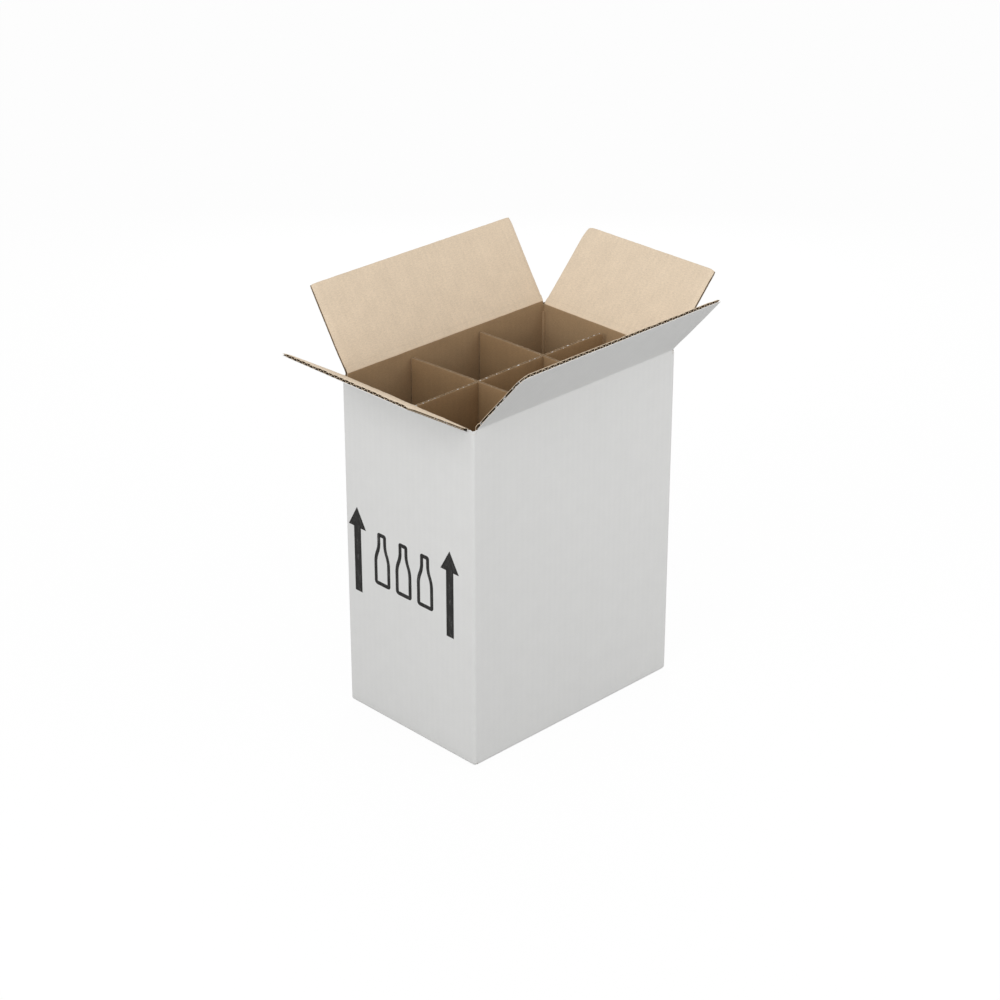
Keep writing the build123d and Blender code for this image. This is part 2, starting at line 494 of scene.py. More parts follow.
def rub_parts(tree, given):
    """Wear beside the cut edges: 1 where the paper's skin is rubbed off. On the folds the rim is the
    crest, and the paler line there is partly crease wear, partly painted highlight.
    """
    distance = math_node(tree, "DIVIDE", given["Rim"], given["Reach"])
    near = math_node(tree, "SUBTRACT", 1.0, distance, clamp=True)
    worn = above(tree, noise_node(tree, given["Vector"], 260.0, 3.0, 0.7), 0.42, 4.0)
    worn = math_node(tree, "MAXIMUM", worn, given["Evenness"])
    return (math_node(tree, "MULTIPLY", near, worn),)


# Each shared group's builder, its inputs beside the vector, and its outputs
GROUPS = {
    "Paper fibre": (fibre_parts, {}, ("Cloud", "Fibre", "Speck", "Height")),
    "Washboard": (washboard_parts, {"Pitch": 7.0 * MM}, ("Ridge",)),
    "Edge rub": (rub_parts, {"Rim": FAR_FROM_RIM, "Reach": 1.2 * MM, "Evenness": 0.0}, ("Mask",)),
}


def shared_group(name):
    """The shader group of that name, made the first time it is asked for."""
    group = bpy.data.node_groups.get(name)
    if group:
        return group
    build, inputs, outputs = GROUPS[name]
    group = bpy.data.node_groups.new(name, "ShaderNodeTree")
    group.interface.new_socket(name="Vector", in_out="INPUT", socket_type="NodeSocketVector")
    for socket, default in inputs.items():
        made = group.interface.new_socket(name=socket, in_out="INPUT", socket_type="NodeSocketFloat")
        made.default_value = default
    for socket in outputs:
        group.interface.new_socket(name=socket, in_out="OUTPUT", socket_type="NodeSocketFloat")
    start, end = group.nodes.new("NodeGroupInput"), group.nodes.new("NodeGroupOutput")
    for socket, value in zip(outputs, build(group, start.outputs)):
        group.links.new(value, end.inputs[socket])
    return group


def placed_group(tree, name, vector, **values):
    """The outputs of a shared group whose inputs are set by number or socket."""
    node = tree.nodes.new("ShaderNodeGroup")
    node.node_tree = shared_group(name)
    for socket, value in {"Vector": vector, **values}.items():
        set_socket(tree, node.inputs[socket], value)
    return node.outputs


def new_paper(name, colour, pitch):
    """A new paper material: its tree, its place on the sheet, its fibre and its ridges."""
    material = bpy.data.materials.new(name)
    material.use_nodes = True
    material.diffuse_color = (*colour, 1)
    tree = material.node_tree
    sheet = tree.nodes.new("ShaderNodeUVMap")
    sheet.uv_map = BOARD_MAP
    vector = sheet.outputs[0]
    fibre = placed_group(tree, "Paper fibre", vector)
    ridge = placed_group(tree, "Washboard", vector, Pitch=pitch)["Ridge"]
    return material, tree, vector, fibre, ridge


def finish_paper(tree, colour, rough, gloss, height, bump, bump_depth):
    """Gives a paper's shader its colour, its roughness, its gloss and its bump."""
    shader = tree.nodes["Principled BSDF"]
    node = tree.nodes.new("ShaderNodeBump")
    node.inputs["Strength"].default_value = bump
    node.inputs["Distance"].default_value = bump_depth
    tree.links.new(height, node.inputs["Height"])
    tree.links.new(colour, shader.inputs["Base Color"])
    tree.links.new(rough, shader.inputs["Roughness"])
    tree.links.new(node.outputs["Normal"], shader.inputs["Normal"])
    shader.inputs["Specular IOR Level"].default_value = gloss


def paper_material(name, colour, dark, light, worn, pitch, looks):
    """A paper liner between its dark and light tones, with worn edges. looks gives the strengths."""
    known = bpy.data.materials.get(name)
    if known:
        return known
    material, tree, vector, fibre, ridge = new_paper(name, colour, pitch)
    rim = tree.nodes.new("ShaderNodeAttribute")
    rim.attribute_name = RIM
    rub = placed_group(
        tree, "Edge rub", vector, Rim=rim.outputs["Fac"], Reach=looks["reach"], Evenness=looks["even"]
    )
    cloud, fibres = (fibre["Cloud"], looks["cloud"]), (fibre["Fibre"], looks["fibre"])
    tone = weighted(tree, cloud, fibres, (ridge, looks["ridge"]))
    base = mixed_colour(tree, math_node(tree, "ADD", tone, 0.5, clamp=True), dark, light)
    specks = math_node(tree, "MULTIPLY", fibre["Speck"], looks["speck"])
    specked = mixed_colour(tree, specks, base, dark)
    rubbed = math_node(tree, "MULTIPLY", rub["Mask"], looks["rub"])
    rough = math_node(tree, "MULTIPLY", fibre["Cloud"], 0.18)
    finish_paper(
        tree,
        mixed_colour(tree, rubbed, specked, worn),
        math_node(tree, "ADD", rough, looks["rough"], clamp=True),
        looks["gloss"],
        weighted(tree, (fibre["Height"], looks["grain_height"]), (ridge, looks["ridge_height"])),
        looks["bump"],
        1.0 * MM,
    )
    return material


def shaded(colour, share):
    """A colour made darker or lighter by a share."""
    return tuple(min(1.0, part * share) for part in colour)


# Strengths of the papers' cloud, fibre and ridge tones, specks, rubbed rims, gloss and bump
WHITE_LOOKS = dict(
    cloud=0.9, fibre=1.1, ridge=0.14, speck=0.05, rub=0.45, reach=0.9 * MM, even=0.0,
    rough=0.62, gloss=0.35, grain_height=0.10, ridge_height=0.02, bump=0.35,
)
BROWN_LOOKS = dict(
    cloud=0.9, fibre=2.9, ridge=0.10, speck=0.35, rub=0.9, reach=0.8 * MM, even=0.55,
    rough=0.74, gloss=0.25, grain_height=0.22, ridge_height=0.02, bump=0.5,
)
DIVIDER_LOOKS = {**BROWN_LOOKS, "rub": 0.42, "even": 0.35}
# On the folds the rub runs wide and even along the crest: a paler line, partly crease wear, partly painted
# highlight.
FOLD_LOOKS = {**BROWN_LOOKS, "reach": 1.8 * MM, "even": 0.7}
CUT_LOOKS = dict(
    cloud=0.9, fibre=1.6, ridge=0.0, speck=0.35, rub=0.0, reach=1.0 * MM, even=0.0,
    rough=0.85, gloss=0.15, grain_height=0.5, ridge_height=0.0, bump=0.7,
)


def board_materials(scene, kind):
    """The finishes of a piece of flap, wall, divider or fold board, in the order WHITE, BROWN, CUT."""
    finish, pitch = scene.bottle_box_finish, scene.bottle_box_board.flute_pitch
    white, cut, flap = tuple(finish.white), tuple(finish.cut), finish.brown
    brown = tuple({"wall": finish.wall_liner_painted_shade, "divider": finish.divider}.get(kind, flap))
    # On the folds the worn colour is a paler copy of the flap liner, laid along the crest: partly crease
    # wear, partly painted highlight.
    worn = shaded(flap, 1.22) if kind == "fold" else tuple(finish.torn)
    looks = {"divider": DIVIDER_LOOKS, "fold": FOLD_LOOKS}.get(kind, BROWN_LOOKS)
    papers = (
        ("White liner", white, 0.965, 1.035, shaded(flap, 1.1), WHITE_LOOKS),
        (f"Brown {kind} liner", brown, 0.88, 1.11, worn, looks),
        ("Cut board edge", cut, 0.72, 1.25, cut, CUT_LOOKS),
    )
    return [
        paper_material(name, colour, shaded(colour, dark), shaded(colour, light), rubbed, pitch, strengths)
        for name, colour, dark, light, rubbed, strengths in papers
    ]


def ink_material(scene):
    """Thin dark ink, paler where the liner's ridges took less of it."""
    known = bpy.data.materials.get("Printed ink")
    if known:
        return known
    finish = scene.bottle_box_finish
    ink, bare = tuple(finish.ink), shaded(finish.white, 0.6)
    material, tree, vector, fibre, ridge = new_paper(
        "Printed ink", ink, scene.bottle_box_board.flute_pitch
    )
    streaks = above(tree, noise_node(tree, vector, 620.0, 3.0, 0.7, (1.0, 0.16, 1.0)), 0.57, 1.6)
    thin = weighted(tree, (ridge, 0.04), (fibre["Fibre"], 0.25), (streaks, 1.0), (fibre["Cloud"], 0.10))
    rough = math_node(tree, "MULTIPLY", fibre["Cloud"], 0.2)
    finish_paper(
        tree,
        mixed_colour(tree, math_node(tree, "ADD", thin, 0.0, clamp=True), ink, bare),
        math_node(tree, "ADD", rough, 0.55, clamp=True),
        0.35,
        fibre["Height"],
        0.3,
        0.5 * MM,
    )
    return material


# ---- The case and its flaps, from the frame ----


class CaseShape:
    """The case's sizes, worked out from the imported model's boxes."""

    def __init__(self, sizes):
        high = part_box("case_body")[1]
        self.board = sizes.case_board
        self.half_length, self.half_width = high.x, high.y
        self.long_fold = high.z + FOLD_GAP
        self.end_fold = self.long_fold - self.board - LAYER_GAP
        self.flap_length = self.half_width - MEETING_GAP / 2
        self.post_top = self.end_fold - FOLD_GAP
        self.crease_depth = self.board + LAYER_GAP + FOLD_GAP
        self.bulge = sizes.wall_bulge

    def warp(self, points):
        """Bulges the four walls slightly outward between their folds, the end walls less."""
        points = np.array(points, float)
        flat, z = points[..., :2].copy(), points[..., 2]
        rise = np.sin(pi * np.clip(z / self.end_fold, 0, 1)) ** 0.8
        uneven = 0.78 + 0.22 * smooth_noise(z, 70 * MM, 5)
        wall_depth = self.board + 1.2 * MM
        halves = (self.half_length, self.half_width)
        for axis, share in ((1, 1.0), (0, 0.6)):
            beside = 1 - axis
            on_wall = (np.abs(flat[..., axis]) - (halves[axis] - wall_depth)) / (0.2 * MM)
            across = np.cos(pi * np.clip(flat[..., beside] / halves[beside] / 2, -0.5, 0.5))
            push = np.sign(flat[..., axis]) * np.clip(on_wall, 0, 1) * share * self.bulge
            points[..., axis] += push * rise * uneven * across
        return points


class FlapShape:
    """One open top flap: its fold line, its directions and its small bends."""

    # outward direction, bow inward at mid length, extra bow at the near side, curl at the free edge,
    # and how much wider the slot is torn at the near side's foot
    SIDES = {
        "front": ((0, -1, 0), -0.35 * MM, 0.15 * MM, -0.3 * MM, 1.6 * MM),
        "back": ((0, 1, 0), -0.25 * MM, 0.0, -0.4 * MM, 0.5 * MM),
        "left": ((-1, 0, 0), 0.15 * MM, -0.10 * MM, -0.1 * MM, 3.6 * MM),
        "right": ((1, 0, 0), -0.15 * MM, 0.1 * MM, 0.1 * MM, 0.8 * MM),
    }

    def __init__(self, side, case):
        outward, self.bow, self.side_bow, self.curl, self.torn = self.SIDES[side]
        self.side, self.case = side, case
        self.outward = np.array(outward, float)
        self.along_fold = np.cross(UP, self.outward)
        self.length = case.flap_length
        halves = (case.half_width, case.half_length)
        is_long = side in ("front", "back")
        half_case, half_wall = halves if is_long else halves[::-1]
        fold_height = case.long_fold if is_long else case.end_fold
        self.half_width = half_wall - SLOT_SET_BACK
        furthest = max(Vector(corner).dot(Vector(outward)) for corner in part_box(f"{side}_top_flap"))
        self.angle = acos((furthest - half_case) / self.length)
        self.reach = self.outward * cos(self.angle) + UP * sin(self.angle)
        self.inward = -self.outward * sin(self.angle) + UP * cos(self.angle)
        self.fold = self.outward * half_case + UP * fold_height
        self.seed = list(self.SIDES).index(side) * 10 + 3
        # The side of the flap that is nearer to the front left corner of the case
        self.near = -1.0 if side in ("front", "right") else 1.0

    def columns(self):
        """Stations from side to side of the flap."""
        return stations(-self.half_width, self.half_width, FLAP_STEP)

    def torn_foot(self, u, v):
        """The place along the fold, drawn in where the slot is torn wider at the near side's foot."""
        beside = ease(u * self.near, self.half_width - 14 * MM, self.half_width)
        return u - self.near * self.torn * beside * ease(v, 20 * MM, 0)

    def place(self, u, v, n):
        """Board coordinates to a point: u along the fold, v from it, n inward from the white face."""
        u, v, n = matched(u, v, n)
        share = np.clip(v / self.length, 0, 1)
        loose = ease(v, 6 * MM, 26 * MM)
        near_side = ease(u * self.near, self.half_width - 75 * MM, self.half_width)
        lift = 4 * (self.bow + self.side_bow * near_side) * share * (1 - share) * loose
        lift = lift + self.curl * share**2 * loose
        lift = lift + 0.08 * MM * share * loose * smooth_noise(u, 38 * MM, self.seed)
        crush, pull = self.wear(u, v)
        ragged = 0.10 * MM * smooth_noise(u, 1.9 * MM, self.seed + 1)
        ragged = ragged * ease(v, self.length - 2 * MM, self.length)
        side_ragged = 0.07 * MM * smooth_noise(v, 2.3 * MM, self.seed + 2)
        side_ragged = side_ragged * ease(np.abs(u), self.half_width - 2 * MM, self.half_width)
        along = self.torn_foot(u, v) * (1 - pull * 0.5 / self.half_width) + side_ragged
        out, depth = v - pull + ragged, n * (1 - crush) + lift
        steps = ((self.along_fold, along), (self.reach, out), (self.inward, depth))
        return self.fold + sum(direction * step[..., None] for direction, step in steps)

    def wear(self, u, v):
        """How far the board is crushed, from 0 to 1, and how far its corner is pushed back."""
        corner = np.hypot(self.half_width - np.abs(u), self.length - v)

        def at_corner(size):
            return ease(corner, size, 0)

        crushed, pushed = 0.22 * at_corner(9 * MM), 0.5 * MM * at_corner(5 * MM)
        far = u * self.near < 0
        if self.side == "right":
            crushed = crushed + np.where(far, 0.30 * at_corner(16 * MM), 0)
            bent = np.where(far, 0.8 * MM * at_corner(5 * MM), 0.5 * MM * at_corner(4 * MM))
            pushed = pushed + bent
        if self.side == "front":
            pushed = pushed + np.where(far, 0, 1.3 * MM * at_corner(10 * MM))
        crushed = crushed + 0.22 * ease(self.half_width - np.abs(u), 3 * MM, 0)
        dents = np.clip(smooth_noise(u, 11 * MM, self.seed + 4) - 0.35, 0, 1)
        return np.clip(crushed + dents * 0.28 * ease(self.length - v, 3 * MM, 0), 0, 0.7), pushed


# ---- The case ----


def wall_columns(case):
    """The case's outline as columns round the box: outside and inside points, place along, and kind.

    The kind of a column is that of the stretch after it: a long wall, an end wall, or a corner post.
    """
    radius, small, turns = UPRIGHT_FOLD_RADIUS, 0.4 * MM, 8
    outside, inside, along, kinds = [], [], [], []
    travelled = 0.0
    for direction, outward in (((1, 0), (0, -1)), ((0, 1), (1, 0)), ((-1, 0), (0, 1)), ((0, -1), (-1, 0))):
        halves = (case.half_length, case.half_width)
        kind, (half, distance) = ("end", halves[::-1]) if outward[0] else ("long", halves)
        direction, outward = np.array(direction, float), np.array(outward, float)
        inner_end = half - case.board - small
        inner_distance = distance - case.board
        span = half - SLOT_SET_BACK
        places = [-(half - radius), *stations(-span, span, WALL_STEP), half - radius]
        for index, place in enumerate(places):
            inner_place = np.clip(place, -inner_end, inner_end)
            outside.append(direction * place + outward * distance)
            inside.append(direction * inner_place + outward * inner_distance)
            along.append(travelled + place + half)
            kinds.append(kind if 0 < index < len(places) - 2 else "post")
        for turn in range(1, turns):
            angle = pi / 2 * turn / turns
            spread = direction * sin(angle) + outward * cos(angle)
            centre = direction * (half - radius) + outward * (distance - radius)
            inner_centre = direction * inner_end + outward * (inner_distance - small)
            outside.append(centre + spread * radius)
            inside.append(inner_centre + spread * small)
            along.append(travelled + 2 * half - radius + radius * 1.6 * turn / turns)
            kinds.append("post")
        travelled += 2 * half
    return np.array(outside), np.array(inside), np.array(along), kinds


def add_band(board, case, columns, chosen, outer_z, inner_z):
    """Adds a band of wall between rows of heights over the chosen stretches, white and brown."""
    outside, inside, along, kinds = columns
    for points, heights, finish in ((outside, outer_z, WHITE), (inside, inner_z, BROWN)):
        for index in chosen:
            after = (index + 1) % len(kinds)
            grid = np.zeros((2, len(heights), 3))
            grid[:, :, :2] = points[[index, after]][:, None, :]
            grid[:, :, 2] = heights
            first = along[index]
            place = [first, along[after] if after > index else first + 3 * MM]
            rim = None
            if kinds[index] == "post":
                rim = np.abs(flat_grid(place, case.post_top - np.array(heights))[..., 1])
            board.add_grid(case.warp(grid), flat_grid(place, heights), finish, rim)


def build_walls(board, case):
    """The four walls up to their folds, with the corner posts that the slots leave."""
    columns = wall_columns(case)
    outside, inside, _, kinds = columns
    every = range(len(kinds))
    low, high, foot = 8 * MM, case.end_fold - case.crease_depth, case.board
    post_top, end_top = case.post_top, case.end_fold - OUTER_FOLD_REACH
    long_top = case.long_fold - OUTER_FOLD_REACH

    def band(kind, outer_z, inner_z):
        add_band(board, case, columns, [i for i in every if kind in (kinds[i], None)], outer_z, inner_z)

    def cut_face(places, heights):
        """One raw face. A corner given twice makes a triangle."""
        corners = np.array([[(*place, height) for place, height in zip(places, heights)]], float)
        board.add(case.warp(corners), CUT, unrolled(corners), 0.0)

    rows = stations(low, high, HEIGHT_STEP)
    band(None, rows, rows)

    # Above the shared rows: flat topped posts, mitred end walls, and long walls up to their own folds
    band("post", [high, end_top, post_top], [high, post_top])
    band("end", [high, end_top], [high, high])
    band("long", [high, post_top, long_top], [high, post_top])
    tops = {"post": (post_top, post_top), "end": (end_top, high), "long": (long_top, post_top)}
    sides = {
        "long": (post_top, long_top, post_top, post_top),
        "end": (end_top, post_top, post_top, high),
    }
    for index, kind in enumerate(kinds):
        after = (index + 1) % len(kinds)
        outer_z, inner_z = tops[kind]
        ring = (outside[index], outside[after], inside[after], inside[index])
        cut_face(ring, (outer_z, outer_z, inner_z, inner_z))
        for column, neighbour in ((index, kinds[index - 1]), (after, kinds[after])):
            if kind != "post" and neighbour == "post":
                upright = (outside[column], outside[column], inside[column], inside[column])
                cut_face(upright, sides[kind])

    # Below them: the posts stop at the underside of the end flaps
    band("post", [foot, low], [foot, low])
    for index in every:
        if kinds[index] == "post":
            after = (index + 1) % len(kinds)
            cut_face((outside[index], outside[after], inside[after], inside[index]), (foot,) * 4)


def folded_profile(case, long_side):
    """Outer and inner lines of a wall's foot and its bottom flap, as (distance outward, height)."""
    half = case.half_width if long_side else case.half_length
    underside = 0.0 if long_side else case.board
    free = MEETING_GAP / 2 if long_side else case.half_length - case.flap_length
    radius, turns, low = BOTTOM_FOLD_RADIUS, 6, 8 * MM
    outer = [(half, low)] + ([(half, case.board)] if long_side else [])
    for turn in range(turns + 1):
        angle = pi / 2 * turn / turns
        outer.append((half - radius + radius * cos(angle), underside + radius - radius * sin(angle)))
    corner = (half - case.board, underside + case.board)
    inner = [(half - case.board, low)] + [corner] * (len(outer) - 1)
    flap = np.linspace(half - case.board, free, 9)
    flap_start = len(outer)
    outer += [(distance, underside) for distance in flap]
    inner += [(distance, underside + case.board) for distance in flap]
    return np.array(outer), np.array(inner), flap_start


def build_bottom(board, case):
    """The folded and glued bottom flaps, each running on from the foot of its wall."""
    for long_side, outward in ((True, (0, -1)), (True, (0, 1)), (False, (-1, 0)), (False, (1, 0))):
        span = (case.half_length if long_side else case.half_width) - SLOT_SET_BACK
        outer, inner, flap_start = folded_profile(case, long_side)
        sideways = (-outward[1], outward[0])
        across = stations(-span, span, WALL_STEP)
        grids = []
        for path, finish in ((outer, WHITE), (inner, BROWN)):
            grid = np.zeros((len(across), len(path), 3))
            for axis in (0, 1):
                grid[:, :, axis] = outward[axis] * path[None, :, 0] + sideways[axis] * across[:, None]
            grid[:, :, 2] = path[None, :, 1]
            grids.append(case.warp(grid))
            board.add_grid(grids[-1], flat_grid(across, -line_lengths(path)), finish)
        outer_grid, inner_grid = grids
        board.add(ribbon(outer_grid[:, -1], inner_grid[:, -1]), CUT, rim=0.0)
        for end in (0, -1):
            first = 1 if long_side else flap_start
            side = ribbon(outer_grid[end, first:], inner_grid[end, first:])
            board.add(side, CUT, side[:, :, 1:], 0.0)
            if long_side:
                continue
            # The post stands square behind the rounded fold
            corner = outer_grid[end, 0].copy()
            corner[2] = case.board
            for step in range(1, flap_start - 1):
                board.add([[*outer_grid[end, step : step + 2], corner, corner]], CUT, rim=0.0)


def build_beads(board, case):
    """The rounded bead of crushed board in each inside corner."""
    low, high = 2 * case.board + 0.1 * MM, case.end_fold - case.board - LAYER_GAP - 3 * MM
    heights = stations(low, high, HEIGHT_STEP)
    sink, swell = 0.25 * MM, 0.75 * MM * sin(pi / 4)
    share = np.arange(11)[:, None] / 10
    rounded = INSIDE_BEAD * np.hstack([1 - share, share]) + swell * np.sin(pi * share)
    start, end, buried = (INSIDE_BEAD, -sink), (-sink, INSIDE_BEAD), (-sink, -sink)
    profile = np.array([start, *rounded, end, buried, start])
    flat = flat_grid(np.linspace(0, 4 * MM, len(profile)), heights)
    for side_x in (-1, 1):
        for side_y in (-1, 1):
            wander = 1 + 0.12 * smooth_noise(heights, 21 * MM, 40 + side_x + 2 * side_y)
            grid = np.zeros((len(profile), len(heights), 3))
            grid[:, :, 0] = side_x * (case.half_length - case.board - profile[:, :1] * wander)
            grid[:, :, 1] = side_y * (case.half_width - case.board - profile[:, 1:])
            grid[:, :, 2] = heights
            board.add_grid(grid, flat, BROWN)
            for end_row in (0, -1):
                middle = np.broadcast_to(np.mean(grid[:-1, end_row], axis=0), (len(profile), 3))
                board.add(ribbon(grid[:, end_row], middle), BROWN)


def build_tab(board, case):
    """The tab that is glued inside the left end wall, with tapered ends."""
    low = 2 * case.board + TAB_END_GAP
    high = case.end_fold - case.board - FOLD_GAP - TAB_END_GAP
    start = case.half_width - case.board - 0.4 * MM
    slope, glue_gap = tan(radians(TAB_TAPER)), 0.05 * MM

    def place(u, v, n):
        u, v, n = matched(u, v, n)
        squeeze = u * slope * (1 - 2 * (v - low) / (high - low))
        thinned = n * (1 - 0.25 * ease(TAB_WIDTH - u, 3 * MM, 0))
        x = -(case.half_length - case.board) + glue_gap + thinned
        return np.stack([x, start - u, v + squeeze], axis=-1)

    across, along = stations(0.0, TAB_WIDTH, 5 * MM), stations(low, high, HEIGHT_STEP)
    plate(board, place, across, along, 0.0, case.board, (BROWN, BROWN, CUT))


def corner_point(case, corner, u, inward, z):
    """A point beside an upright fold. u runs round the corner from the end wall to the long wall."""
    u, inward, z = matched(u, inward, z)
    radius = UPRIGHT_FOLD_RADIUS
    angle = pi / 4 + np.clip(u, -QUARTER_FOLD, QUARTER_FOLD) / radius
    reach = np.maximum(radius - inward, 0)
    beyond = inward - radius + reach
    x_back = beyond * (u < 0) + np.maximum(u - QUARTER_FOLD, 0)
    y_back = beyond * (u >= 0) + np.maximum(-u - QUARTER_FOLD, 0)
    x = case.half_length - radius + reach * np.cos(angle) - x_back
    y = case.half_width - radius + reach * np.sin(angle) - y_back
    return np.stack([corner[0] * x, corner[1] * y, z], axis=-1)


def build_corner_rims(board, case):
    """The outside liner's torn lip at each slot, a few millimetres high at the front corners."""
    # How high each lip stands, and how far it runs along the end wall and the long wall
    lips = ((3.3, 4.7, 2.4), (2.3, 1.2, 0.6), (0.9, 0.5, 0.8), (1.2, 0.6, 0.6))
    for seed, (corner, lip) in enumerate(zip(CORNERS, lips)):
        rise, end_side, long_side = (size * MM for size in lip)

        def place(u, v, n, corner=corner, rise=rise, seed=seed):
            ragged = rise * (0.84 + 0.16 * smooth_noise(u, 1.3 * MM, 60 + seed))
            lean = 0.25 * MM * smooth_noise(u, 2.1 * MM, 65 + seed) * v
            inward = 0.03 * MM + n * (1 - 0.45 * v) + np.abs(lean)
            return corner_point(case, corner, u, inward, case.post_top - 2.0 * MM * (1 - v) + ragged * v)

        across = stations(-(QUARTER_FOLD + end_side), QUARTER_FOLD + long_side, 0.45 * MM)
        plate(board, place, across, np.linspace(0, 1, 5), 0.0, 1.0 * MM, (WHITE, BROWN, WHITE))


def build_bottom_edges(board, case):
    """The liner rolled in under the end walls and the corners, over the ends of the long flaps."""
    radius, clearance = 2.4 * MM, 0.15 * MM
    above_fold = case.board + BOTTOM_FOLD_RADIUS + 0.2 * MM
    end_side = QUARTER_FOLD + case.half_width - UPRIGHT_FOLD_RADIUS
    long_side = QUARTER_FOLD + SLOT_SET_BACK - UPRIGHT_FOLD_RADIUS
    round_corner = stations(-(QUARTER_FOLD + 1 * MM), long_side, 0.6 * MM)
    across = np.concatenate([stations(-end_side, round_corner[0], 10 * MM)[:-1], round_corner])
    along = np.array([-1, *np.linspace(0, 1, 7)])
    for corner in CORNERS:

        def place(u, v, n, corner=corner):
            turn = np.maximum(v, 0) * pi / 2
            inward = radius * (1 - np.cos(turn)) + n * np.cos(turn)
            z = clearance + radius * (1 - np.sin(turn)) + n * np.sin(turn)
            z = z + np.maximum(-v, 0) * (above_fold - radius - clearance)
            return corner_point(case, corner, u, 0.02 * MM + inward, z)

        plate(board, place, across, along, 0.0, 0.8 * MM, (WHITE, BROWN, WHITE))


def build_torn_bits(board, case):
    """Scraps of liner left standing at the slots, most of them at the front left corner."""
    draws = np.random.default_rng(17)
    for (side_x, side_y), count in zip(CORNERS, (9, 4, 2, 3)):
        for _ in range(count):
            along, depth = draws.uniform(0.4, 4.2) * MM, draws.uniform(0.1, 1.6) * MM
            on_end = draws.random() < 0.5
            inset_x, inset_y = (depth, along) if on_end else (along, depth)
            centre = (
                side_x * (case.half_length - inset_x - 0.5 * MM),
                side_y * (case.half_width - inset_y - 0.5 * MM),
                case.post_top + draws.uniform(-0.2, 0.2) * MM,
            )
            size = draws.uniform((0.45, 0.45, 0.3), (1.3, 1.3, 0.6)) * MM
            crumb(board, centre, size, WHITE if draws.random() < 0.75 else BROWN, draws)


# ---- Flaps and folds ----


def build_frayed_side(board, flap, thickness):
    """Scraps of liner that the slotting blade left along the near side of a flap."""
    draws = np.random.default_rng(flap.seed + 50)
    count = {"front": 30, "left": 9}.get(flap.side, 4)
    # The end flaps fold in under the long ones, so their scraps stay smaller
    largest = (0.55, 0.5, 0.9) if flap.side == "front" else (0.40, 0.40, 0.65)
    for _ in range(count):
        v = draws.uniform(TOP_FOLD_REACH + 1 * MM, flap.length - 2 * MM)
        u = flap.near * (flap.half_width - draws.uniform(0.0, 0.35) * MM)
        centre = flap.place(np.array([u]), v, thickness * draws.uniform(0.05, 0.8))[0]
        size = draws.uniform((0.18, 0.18, 0.25), largest) * MM
        crumb(board, centre, size, WHITE if draws.random() < 0.8 else BROWN, draws)


def build_fold(scene, flap):
    """One fold: a rounded crest inside the box and a narrow bead outside it."""
    thickness, liner = scene.bottle_box_board.case_board, scene.bottle_box_board.liner
    # Across the fold, points are (outward, up) from the fold line
    cosine, sine = cos(flap.angle), sin(flap.angle)
    reach, inward = np.array((cosine, sine)), np.array((-sine, cosine))
    wall_inside = np.array((-thickness, -flap.case.crease_depth))
    flap_inside = reach * TOP_FOLD_REACH + inward * thickness
    # Where the inside faces of the wall and the flap would meet
    meeting_rise = (1 - sine) / cosine
    crest = np.array((-thickness, thickness * meeting_rise))
    under_crest = crest + (liner, -liner * meeting_rise)
    inner = rounded_line([wall_inside, crest, flap_inside], [2.4 * MM], 12)
    under = [wall_inside + (liner, 0), under_crest, flap_inside - inward * liner]
    under = even_line(rounded_line(under, [2.1 * MM], 12))
    build_strip(scene, flap, "inside", even_line(inner), under, crest)

    bead, rounding = 0.12 * MM, [1.2 * MM]
    wall_outside, flap_outside = np.array((0.0, -OUTER_FOLD_REACH)), reach * TOP_FOLD_REACH
    halfway = flap.angle / 2 - pi / 4
    middle = np.array((cos(halfway), sin(halfway))) * bead
    outer = rounded_line([wall_outside, middle, flap_outside], rounding, 8)
    back = [wall_outside - (liner, 0), middle - (liner, -liner * 0.4), flap_outside + inward * liner]
    back = rounded_line(back, rounding, 8)
    build_strip(scene, flap, "outside", outer, back)


def build_strip(scene, flap, face, surface, back, crest=None):
    """A strip of liner along the fold, bent from the wall's body to the flap's.

    The strip inside has a crest, where the wall liner's painted shade changes to the flap liner's painted
    light.
    """
    across = flap.columns()
    board = BoardMesh()
    finish, wander = (WHITE, 0.0) if crest is None else (BROWN, 0.09)

    def placed(line):
        humps = np.sin(np.linspace(0, pi, len(line)))
        uneven = 1 + wander * smooth_noise(across, 7 * MM, flap.seed + 6)[:, None] * humps
        points = flap.fold + flap.along_fold * flap.torn_foot(across, 0.0)[:, None, None]
        points = points + flap.outward * (line[:, 0] * uneven)[..., None]
        return points + UP * (line[:, 1] * uneven)[..., None]

    lengths = line_lengths(surface)
    flat = flat_grid(across, lengths)
    top, under = placed(surface), placed(back)
    last = len(surface) - 1
    parts, rim = [(0, last, finish)], None
    if crest is not None:
        highest = int(np.argmin(np.hypot(*(surface - crest).T)))
        # The crest counts as the rim, so the fold's paler line runs along it: partly crease wear, partly
        # painted highlight.
        rim = np.broadcast_to(np.abs(lengths - lengths[highest]), flat.shape[:2])
        # The flap liner's painted light starts a little before the crest, and the wall liner's painted
        # shade runs below it
        turn = highest - 2
        parts = [(0, turn, WALL_PAINTED_SHADE), (turn, last, finish)]
    for first, final, paper in parts:
        part = slice(first, final + 1)
        board.add_grid(top[:, part], flat[:, part], paper, None if rim is None else rim[:, part])
    board.add_grid(under, flat, CUT)
    for edge in (0, -1):
        board.add(ribbon(top[:, edge], under[:, edge]), finish)
        board.add(ribbon(top[edge], under[edge]), finish)
    papers = [*board_materials(scene, "fold"), board_materials(scene, "wall")[BROWN]]
    piece = board.make(f"{flap.side}_fold_{face}", papers)
    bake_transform(piece)


# ---- Partition ----


